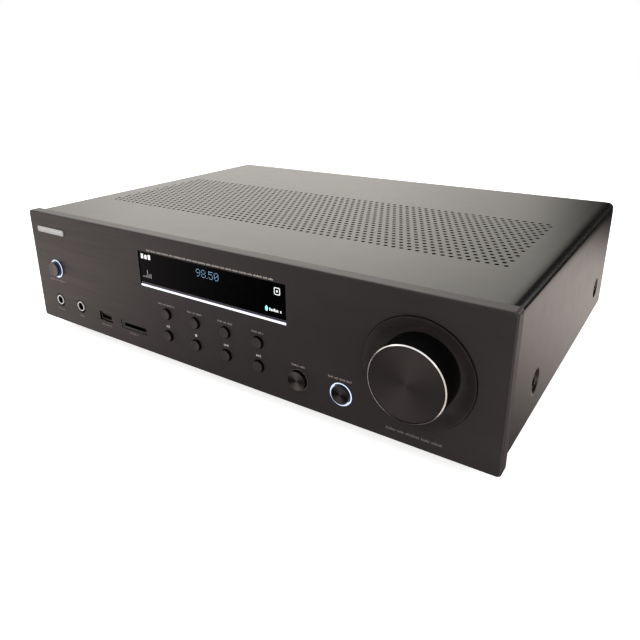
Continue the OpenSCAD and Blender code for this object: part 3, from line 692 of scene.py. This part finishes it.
def make_display():
    """What glows behind the lens, set in its front face: digits and marks, and a strip of painted
    reflection of the light bar.
    """
    face = 0.6
    front, back = face - 0.02, face + 0.1

    def bar(shape, x0, x1, z0, z1, slot=0):
        shape.block((x0, front, z0), (x1, back, z1), slot)

    bar_low, bar_high = box("display_light_bar")
    # A faint emissive strip over the light bar: painted reflection of the bar, not a lamp.
    painted_bar_reflection = Shape()
    bar(painted_bar_reflection, bar_low.x, bar_high.x, bar_high.z + 0.2, bar_high.z + 1.9)
    painted_bar_reflection.make("lens_painted_bar_reflection", ["painted_bar_reflection"])

    digits = Shape()
    x = bar_low.x + 60.4
    for character in "98.50":
        rows = DIGITS[character]
        for down, row in enumerate(rows):
            for along, lit in enumerate(row):
                if lit == "1":
                    dot_x, dot_z = x + along * DOT_PITCH, 83.0 - (down + 1) * DOT_PITCH
                    bar(digits, dot_x, dot_x + DOT, dot_z, dot_z + DOT)
        x += (len(rows[0]) + 1) * DOT_PITCH
    digits.make("display_digits", ["dots"])

    marks = Shape()
    left, right, foot = bar_low.x + 2.1, bar_high.x - 4.6, 65.2
    for k, height in enumerate((3.8, 3.2, 3.8)):
        bar(marks, left + 3.9 * k, left + 3.9 * k + 2.6, 80.4, 80.4 + height)
    for k, height in enumerate((0.8, 1.3, 1.9, 6.4, 2.9, 3.6)):
        bar(marks, left + 1.8 * k, left + 1.8 * k + 0.8, foot, foot + height, 1)
    box_low, box_high = (right - 5.0, 77.6), (right, 82.9)
    hole_low, hole_high = [v + 0.6 for v in box_low], [v - 0.6 for v in box_high]
    marks.frame(rounded(*box_low, *box_high, 1.1), rounded(*hole_low, *hole_high, 0.6),
                front, back)
    marks.prism(arc((right - 2.5, 80.25), 0.8, 0, 345, 15), front, back)
    greeked(marks, right - 9.3, right + 1.6, foot, 2.1, (6, 9), face=face)
    tall = [(right - 11.7 + 0.62 * px, 66.3 + pz) for px, pz in arc((0, 0), 1.9, 0, 345, 23)]
    marks.prism(tall, front, back, 2)
    marks.make("display_marks", ["marks", "marks_dim", "marks_cyan"])


print_panel()
make_badge()
make_display()


# ---- Front: buttons, knobs and rings ----

FLANGE_T = 1.2
PANEL_T = 3.0
STEM_R = 2.0
BEHIND_PANEL = PANEL_T + 0.3            # where a control's flange starts, with its play
BEHIND_RING = PANEL_T + FLANGE_T + 0.3
KNOB_BODIES = {"source_knob": "source_selector", "select_knob": "select_dial"}


def turned(node, name, looks, slot, profile, slots, body="chassis", axis=None, **how):
    """Replaces a CAD node with a turned piece on the node's own axis."""
    at = axis or centre(node)
    shape = Shape()
    shape.lathe(profile, at.x, at.z, slots=slots, **how)
    return shape.make(name, looks, body, [node])


def push_button(node, look, slot, flange, flange_front, side="black_side_and_shade"):
    """A cap with a rounded edge and a slightly dished face, on a flange and a stem."""
    low, high = box(node)
    radius, reach = (high.x - low.x) / 2 - flange, -low.y
    edge, shy = 0.45, 0.35      # shy: the cap's front clears its hole by this much more
    tip = radius - shy
    profile = [(0, reach - 0.12), (tip * 0.6, reach - 0.08), (tip - edge - 0.25, reach),
               *arc((tip - edge, reach - edge), edge, 90, 0, 5),
               (tip, -0.6), (radius, -0.9), (radius, -flange_front),
               (radius + flange, -flange_front), (radius + flange, -flange_front - FLANGE_T),
               (STEM_R, -flange_front - FLANGE_T), (STEM_R, -high.y), (0, -high.y)]
    # Past the face, the cap's outer edge, side, flange and stem take the side look: black as
    # painted shade on the buttons, faint blue painted light on the power cap.
    slots = [0] * 5 + [1] * (len(profile) - 6)
    turned(node, node + "_cap", [look, side], slot, profile, slots, body=node, segments=64)


def make_buttons():
    for node in UPPER_ROW + LOWER_ROW:
        push_button(node, "button", "button_black", 1.2, BEHIND_PANEL)
    # The power cap's side takes faint blue emission: painted light of the light ring round it.
    push_button("power_button", "power", "button_black", 1.6, BEHIND_RING, "painted_blue_light")


def make_rings():
    for node, outer, bore in (("power_light_ring", 8.25, 7.35), ("select_light_ring", 8.1, 7.45)):
        round_off = 0.2
        profile = [(bore, -0.1), *arc((bore + round_off, 0.1 - round_off), round_off, 180, 90, 3),
                   *arc((outer - round_off, 0.1 - round_off), round_off, 90, 0, 3),
                   (outer, -PANEL_T), (outer + 1.2, -PANEL_T), (outer + 1.2, -PANEL_T - FLANGE_T),
                   (bore, -PANEL_T - FLANGE_T), (bore, -0.1)]
        turned(node, node + "_guide", ["ring"], "light_ring", profile, None)


def small_knob(node, look, slot, flange, flange_front):
    low, high = box(node)
    radius, reach = (high.x - low.x) / 2 - flange, -low.y
    edge = 0.35
    profile = [(0, reach - 0.5), (radius * 0.35, reach - 0.46), (radius * 0.6, reach - 0.34),
               (radius * 0.8, reach - 0.16), (radius - edge - 0.2, reach),
               *arc((radius - edge, reach - edge), edge, 90, 0, 5),
               (radius, -flange_front), (radius + flange, -flange_front),
               (radius + flange, -flange_front - 1), (STEM_R, -flange_front - 1),
               (STEM_R, -high.y), (0, -high.y)]
    # Past the face, the knob's edge, side, flange and stem are black: painted shade.
    slots = [0] * 7 + [1] * (len(profile) - 8)
    turned(node, node + "_cap", [look, "black_side_and_shade"], slot, profile, slots, body=KNOB_BODIES[node])


def make_volume_knob():
    low, high = box("volume_knob_cap")
    radius, reach, tail = (high.x - low.x) / 2, -low.y, high.y
    inner = radius - 2.0
    rim_in, rim_out = radius - 0.95, radius - 0.1
    profile = [(0, reach - 0.3), (rim_in - 0.35, reach - 0.28), (rim_in - 0.2, reach - 0.42),
               (rim_in, reach - 0.42), (rim_in + 0.08, reach - 0.05), (rim_in + 0.2, reach),
               (rim_out, reach - 0.62), (radius, reach - 0.8),
               (radius, -tail + 0.3), (radius - 0.3, -tail), (inner, -tail), (inner, reach - 2.8),
               (0, reach - 2.8)]
    slots = [0, 2, 2, 2, 1, 1, 2, 2, 2, 2, 2, 2]
    turned("volume_knob_cap", "volume_knob_shell", ["knob", "knob_rim", "black_side_and_shade"],
           "volume_metal", profile, slots, body="volume_knob", segments=160)


def make_dish():
    low, high = box("volume_dish")
    rim = (high.x - low.x) / 2 - 2.0
    rise = -low.y           # the rim stands out of the panel
    lip, floor_r, depth, wall, steps = 0.8, 25.3, 5.0, 1.4, 24
    slope = []
    for i in range(steps + 1):
        t = i / steps
        slope.append((rim - lip - (rim - lip - floor_r) * t,
                      rise - (depth + rise) * math.sin(math.pi / 2 * t)))
    crest = arc((rim - 0.5, rise - 0.5), 0.5, 90, 0, 5)
    profile = [(6.5, -depth), *slope[::-1], *crest, (rim, -PANEL_T), (rim + 2, -PANEL_T),
               (rim + 2, -PANEL_T - FLANGE_T), (rim - 3, -PANEL_T - FLANGE_T),
               (floor_r - 1, -depth - wall), (6.5, -depth - wall), (6.5, -depth)]
    # The crest and the walls behind it take the black look: painted shade standing for a groove
    # round the rim.
    inside = len(slope) + 1
    slots = [0] * inside + [1] * (len(profile) - 1 - inside)
    turned("volume_dish", "volume_dish_insert", ["dish", "black_side_and_shade"], "dish_plastic", profile,
           slots, axis=centre("volume_knob_cap"), segments=160)


def make_source_trim():
    """A thin satin bead round the source knob's opening, lighter than the panel: partly its own
    tone, partly a painted highlight of the opening's edge.
    """
    at = centre("source_knob")
    shape = Shape()
    shape.lathe([(7.4, -0.6), (7.4, 0.04), (7.5, 0.1), (7.75, 0.1), (7.85, 0.04), (7.85, -0.2),
                 (7.4, -0.6)], at.x, at.z)
    shape.make("source_trim", ["trim"])


make_buttons()
make_rings()
make_source_trim()
small_knob("source_knob", "source", "knob_metal", 1.2, BEHIND_PANEL)
small_knob("select_knob", "select", "knob_metal", 1.6, BEHIND_RING)
make_volume_knob()
make_dish()


# ---- Front: sockets ----

FERRULE_R, COLLAR_R, JACK_R = 4.4, 5.15, 3.2


def make_ferrules():
    low, high = box("jack_ferrules")
    reach, end = -low.y, high.y
    z = centre("jack_ferrules").z
    profile = [(JACK_R, -end), (FERRULE_R, -end), (FERRULE_R, -2), (COLLAR_R, -2),
               *arc((COLLAR_R - 0.8, reach - 0.8), 0.8, 0, 90, 5),
               *arc((JACK_R + 0.4, reach - 0.4), 0.4, 90, 180, 5), (JACK_R, -end)]
    # The collar's back and side, the outer part of its round edge and the bore are black: painted
    # shade of the gap round the collar and of the jack's inside.
    slots = [0, 0, 1, 1, 1, 1] + [0] * (len(profile) - 8) + [1]
    shape = Shape()
    for x in (low.x + COLLAR_R, high.x - COLLAR_R):
        shape.lathe(profile, x, z, segments=64, slots=slots)
    shape.make("jack_sleeves", ["ferrule", "black_side_and_shade"], replaces=["jack_ferrules"])


def make_usb():
    """A folded shell with two spring tabs inside, the tongue and its four contacts."""
    low, high = box("usb_port")
    at = centre("usb_port")
    wall_x, wall_z = 0.65, 0.64
    outer = rounded(low.x, low.z, high.x, high.z, 0.9)
    inner = rounded(low.x + wall_x, low.z + wall_z, high.x - wall_x, high.z - wall_z, 0.35)
    shape = Shape()
    shape.frame(outer, inner, low.y, 12.0)
    shape.prism(outer, 12.0, high.y)
    shape.block((at.x - 5.6, 2.0, at.z + 0.1), (at.x + 5.6, 12.5, at.z + 1.94), 1)
    for k in range(4):
        x = at.x + (k - 1.5) * 2.5
        shape.block((x - 0.6, 2.6, at.z - 0.05), (x + 0.6, 12.0, at.z + 0.12), 2)
    for side in (-1, 1):
        x = at.x + side * 3.1
        shape.block((x - 1.1, 3.0, low.z + 0.6), (x + 1.1, 9.0, low.z + 0.85))
    shape.make("usb_socket", ["usb_shell", "black_plastic", "gold"],
               replaces=["usb_port"], bevel=0.08)


def make_card_slot():
    """A bezel whose mouth narrows in a funnel, and the body behind it."""
    low, high = box("card_slot")
    at = centre("card_slot")
    mouth_x, mouth_z, funnel_x, funnel_z = 12.7, 1.3, 14.0, 1.6
    body_x, body_z, mouth_end = 14.5, 2.8, 27.0
    steps = 5
    outer = rounded(low.x, low.z, high.x, high.z, 0.7, steps)

    def opening(half_x, half_z, radius):
        return rounded(at.x - half_x, at.z - half_z, at.x + half_x, at.z + half_z, radius, steps)

    loops = [(outer, PANEL_T), (outer, low.y + 0.25),
             (rounded(low.x + 0.25, low.z + 0.25, high.x - 0.25, high.z - 0.25, 0.5, steps), low.y),
             (opening(funnel_x + 0.3, funnel_z + 0.3, 0.7), low.y),
             (opening(funnel_x, funnel_z, 0.5), low.y + 0.3), (opening(mouth_x, mouth_z, 0.3), 1.6),
             (opening(mouth_x, mouth_z, 0.3), mouth_end),
             (opening(body_x, body_z, 0.5), mouth_end), (opening(body_x, body_z, 0.5), PANEL_T)]
    shape = Shape()
    count = len(outer)
    faces = []
    for k in range(len(loops)):
        after = (k + 1) % len(loops)
        faces += [(k * count + i, k * count + (i + 1) % count, after * count + (i + 1) % count,
                   after * count + i) for i in range(count)]
    shape.add([(x, y, z) for outline, y in loops for x, z in outline], faces)
    shape.block((at.x - body_x, mouth_end, at.z - body_z),
                (at.x + body_x, high.y, at.z + body_z))
    shape.make("card_slot_bezel", ["gloss_black"], replaces=["card_slot"])


make_ferrules()
make_usb()
make_card_slot()


# ---- Screws ----

def cross_head_screw(length, head_r=2.9, head_h=1.6, thread_r=1.5):
    """A pan head towards the user with a cross recess, and its thread behind."""
    arm, half, depth = 1.5, 0.32, 0.9
    cross = [(half, half), (half, arm), (-half, arm), (-half, half), (-arm, half), (-arm, 0),
             (-arm, -half), (-half, -half), (-half, -arm), (half, -arm), (half, -half),
             (arm, -half), (arm, 0), (arm, half)]
    cross = cross[-2:] + cross[:-2]
    shape = Shape()
    rim = arc((0, 0), 1.9, 0, 360, 28)[:-1]
    points = [(x, -head_h, z) for x, z in rim + cross] + [(x, depth - head_h, z) for x, z in cross]
    ring, hole, floor = 0, len(rim), len(rim) + len(cross)
    upper = cross.index((-arm, 0))
    faces = [[*range(ring, len(rim) // 2 + 1), *range(hole + upper, hole - 1, -1)],
             [*range(len(rim) // 2, len(rim)), 0, hole,
              *range(hole + len(cross) - 1, hole + upper - 1, -1)],
             list(range(floor, floor + len(cross)))]
    faces += [(hole + i, hole + (i + 1) % len(cross), floor + (i + 1) % len(cross), floor + i)
              for i in range(len(cross))]
    shape.add(points, faces)
    pitch = 0.6
    threads = [(thread_r - (0.2 if k % 2 else 0.0), -0.4 - k * pitch / 2)
               for k in range(int((length - 1.0) / pitch * 2))]
    dome = [(head_r - 1.0 + 1.0 * math.sin(t), head_h - 1.0 + 1.0 * math.cos(t))
            for t in (math.pi / 2 * k / 6 for k in range(1, 7))]
    shape.lathe([(1.9, head_h), *dome, (head_r, 0), *threads, (0.6, -length), (0, -length)],
                segments=28)
    return shape


def make_screws():
    cover_high = box("top_cover")[1]
    side, rear = cross_head_screw(5.0), cross_head_screw(6.0)
    seat = cover_high.x - SEAT[-1][1]
    shape = Shape()
    for y in SIDE_SCREW_Y:
        shape.stamp(side, (seat, y, SIDE_SCREW_Z), 90)
        shape.stamp(side, (-seat, y, SIDE_SCREW_Z), -90)
    for x in REAR_SCREW_X:
        shape.stamp(rear, (x, cover_high.y, REAR_SCREW_Z), 180)
    shape.make("case_screws", ["black_screw"], replaces=["cover_screws"])


make_screws()


# ---- Rear ----

RCA_PITCH = 14.0
RCA_UPPER, RCA_LOWER = 56.0, 40.0

def make_phono_sockets():
    """Ten sockets on one body: a nickel barrel with a coloured insert round the centre contact."""
    low, high = box("rca_block")
    rear = high.y - 9.0
    body_back = rear - SHEET
    collar_r, barrel_r, insert_r, pin_r = 4.6, 4.15, 3.55, 1.65
    end = 9.0
    barrel = [(insert_r, end - 0.5), (insert_r, end - 0.12),
              *arc((barrel_r - 0.2, end - 0.2), 0.2, 110, 0, 4),
              (barrel_r, 0.0), (collar_r, 0.0), (collar_r, -SHEET), (insert_r, -SHEET),
              (insert_r, end - 0.5)]
    insert = [(insert_r, end - 0.5), (pin_r + 0.45, end - 0.5), (pin_r + 0.35, end - 0.35),
              (pin_r, end - 0.35), (pin_r, -4.0), (insert_r, -4.0), (insert_r, end - 0.5)]
    shape = Shape()
    shape.block((low.x, low.y, low.z), (high.x, body_back, high.z), 0)
    at = centre("rca_block")
    for z, look in ((RCA_UPPER, 2), (RCA_LOWER, 3)):
        for k in range(5):
            x = at.x + (k - 2) * RCA_PITCH
            shape.lathe(barrel, x, z, rear, 1, 40, [1] * (len(barrel) - 1))
            shape.lathe(insert, x, z, rear, 1, 32, [look, look, 1, 1, look, look])
    shape.make("phono_sockets", ["black_plastic", "nickel", "white_plastic", "red_plastic"],
               replaces=["rca_block"])


def print_rear():
    face = box("rear_panel")[1].y
    shape = Shape()

    def line(x, z, width, height=1.5, **how):
        centred(shape, x, z, width, height, face=face, out=1, **how)

    sockets = centre("rca_block")
    for k in range(5):
        line(sockets.x + (k - 2) * RCA_PITCH, 63.5, 8.5, words=(5,))
    for z in (RCA_UPPER, RCA_LOWER):
        line(sockets.x + 44, z, 5.0, words=(4,))
    for node, above, width in (("ground_post", 8.0, 9.0), ("optical_socket", 8.0, 12.0),
                               ("antenna_socket", 9.0, 14.0), ("mains_inlet", 15.0, 16.0)):
        at = centre(node)
        line(at.x, at.z + above, width)
    terminals = centre("speaker_terminal_block")
    line(terminals.x, terminals.z + 19, 42.0, 1.8, words=(8, 9))
    line(terminals.x - 19, terminals.z + 15.2, 8.0, 1.3, words=(4,))
    line(terminals.x + 19, terminals.z + 15.2, 8.0, 1.3, words=(5,))
    shape.make("rear_print", ["rear_print"])


def print_polarity():
    """A plus over each red terminal and a minus over each black one, on the terminal block."""
    high = box("speaker_terminal_block")[1]
    shape = Shape()
    arm, half = 1.2, 0.3
    back, front = high.y - PRINT_SINK, high.y + PRINT_PROUD
    for node, plus in (("left_plus_cap", True), ("left_minus_cap", False),
                       ("right_minus_cap", False), ("right_plus_cap", True)):
        x, z = centre(node).x, high.z - 2.4
        shape.block((x - arm, back, z - half), (x + arm, front, z + half))
        if plus:
            for side in (-1, 1):
                bottom, top = sorted((z + side * arm, z + side * half))
                shape.block((x - half, back, bottom), (x + half, front, top))
    shape.make("terminal_print", ["rear_print"])


inlet = centre("mains_inlet")
PINS = ((-7, -2), (0, 2), (7, -2))
BOARD_TOP = 15.7
repaint("mains_inlet", "nickel", lambda p: any(
    abs(p.x - inlet.x - x) < 1.1 and abs(p.z - inlet.z - z) < 2.1 for x, z in PINS))
# The walls of the panel's cut-outs, painted near-black as shade
repaint("front_panel", "hole",
        lambda p: 0.3 < p.y < 2.9 and abs(p.x) < 211 and 3.5 < p.z < 97.5)
repaint("main_board", "black_plastic", lambda p: p.z > BOARD_TOP)
make_phono_sockets()
print_rear()
print_polarity()


# ---- Stage ----

def area_light(name, position, aim, size, power, colour=(1, 1, 1)):
    """A softbox at a position, aimed at a point, both in metres, size across and down."""
    lamp = bpy.data.lights.new(name, "AREA")
    lamp.shape = "RECTANGLE"
    lamp.size, lamp.size_y = size
    lamp.energy = power
    lamp.color = colour
    made = bpy.data.objects.new(name, lamp)
    made.location = position
    made.rotation_euler = (Vector(aim) - Vector(position)).to_track_quat("-Z", "Y").to_euler()
    made.visible_camera = False
    bpy.context.scene.collection.objects.link(made)
    return made


def make_floor():
    look = Look("floor_paper", "#f4f4f4", 0.9, Emission_Color=(1, 1, 1, 1), Emission_Strength=0.75)
    look.bump(look.noise(2.0), 0.02, 0.2)
    reach = 5.0
    mesh = bpy.data.meshes.new("floor")
    corners = [(-reach, -reach, 0), (reach, -reach, 0), (reach, reach, 0), (-reach, reach, 0)]
    mesh.from_pydata(corners, [], [(0, 1, 2, 3)])
    mesh.materials.append(look.material)
    floor = bpy.data.objects.new("floor", mesh)
    bpy.context.scene.collection.objects.link(floor)
    floor.visible_glossy = False


AMBIENT, SWEEP, LEFT, RIGHT = 0.012, 0.92, 2.8, 0.95
LOW_TINT, HIGH_TINT = (1.0, 0.88, 0.82, 1.0), (1.0, 0.96, 0.89, 1.0)


def make_world():
    """White where the camera sees it. What gloss reflects is a bright wall behind on the left, a
    pale sweep low behind, softer light ahead on both sides, and a dark room elsewhere."""
    world = bpy.data.worlds.new("studio")
    world.use_nodes = True
    bpy.context.scene.world = world
    nodes = Nodes(world.node_tree)

    def fade(value, start, end, low=0.0, high=1.0):
        return nodes.ranged(value, low, high, start, end, interpolation_type="SMOOTHSTEP")

    def joined(operation, *values):
        result = values[0]
        for value in values[1:]:
            result = nodes.math(operation, result, value)
        return result

    toward = nodes.add("SeparateXYZ", {0: nodes.add("TexCoord").outputs["Generated"]}).outputs
    x, y, z = (toward[axis] for axis in "XYZ")
    behind, ahead = fade(y, -0.1, 0.1), fade(y, 0.1, -0.1)
    wall = joined("MULTIPLY", behind, fade(z, -0.04, 0.04), fade(z, 0.21, 0.27, 1.15, 2.1),
                  fade(z, 0.31, 0.36, 1.0, 0.72), fade(x, -0.74, -0.88, 1.0, 0.6),
                  joined("ADD", fade(x, -0.11, -0.25, high=0.65), fade(x, -0.2, -0.5, high=0.35)))
    sweep = joined("MULTIPLY", behind, fade(z, -0.218, -0.3), fade(z, -0.58, -0.32, 0.1, SWEEP))
    left = joined("MULTIPLY", ahead, fade(x, -0.55, -0.85), fade(z, -0.45, -0.33),
                  fade(z, -0.14, -0.3), LEFT)
    beside = joined("MULTIPLY", ahead, fade(x, -0.5, -0.8), fade(z, -0.05, 0.1), RIGHT)
    right = joined("MULTIPLY", ahead, fade(x, -0.2, 0.15), fade(z, 0.7, 0.5), RIGHT)
    level = joined("ADD", wall, sweep, left, beside, right, AMBIENT)
    seen = nodes.add("LightPath").outputs["Is Camera Ray"]
    strength = nodes.add("Mix", {"Factor": seen, "A": level, "B": 1.0},
                         data_type="FLOAT").outputs[0]
    tint = nodes.add("MixRGB", {"Fac": fade(z, -0.15, 0.05), "Color1": LOW_TINT,
                                "Color2": HIGH_TINT})
    tint = nodes.add("MixRGB", {"Fac": seen, "Color1": tint.outputs[0],
                                "Color2": (1, 1, 1, 1)}).outputs[0]
    back = world.node_tree.nodes["Background"]
    world.node_tree.links.new(strength, back.inputs["Strength"])
    world.node_tree.links.new(tint, back.inputs["Color"])


make_floor()
make_world()
area_light("overhead", (0, 0, 2.4), (0, 0, 0), (7, 6), 157)
area_light("rear_fill", (1.6, 1.5, 0.9), (0, 0.15, 0.05), (1.2, 1.0), 14)

camera = bpy.data.cameras.new("camera")
camera.lens = 33.72
camera.shift_x, camera.shift_y = 0.0279, -0.0715
viewer = bpy.data.objects.new("camera", camera)
bpy.context.scene.collection.objects.link(viewer)
viewer.rotation_euler = (Matrix.Rotation(math.radians(34.9215), 3, "Z")
                         @ Matrix.Rotation(math.radians(90 - 19.4983), 3, "X")
                         @ Matrix.Rotation(math.radians(-0.74987), 3, "Z")).to_euler()
viewer.location = place(284.143, -290.473, 221.747)
bpy.context.scene.camera = viewer
bpy.context.scene.view_settings.view_transform = "Standard"
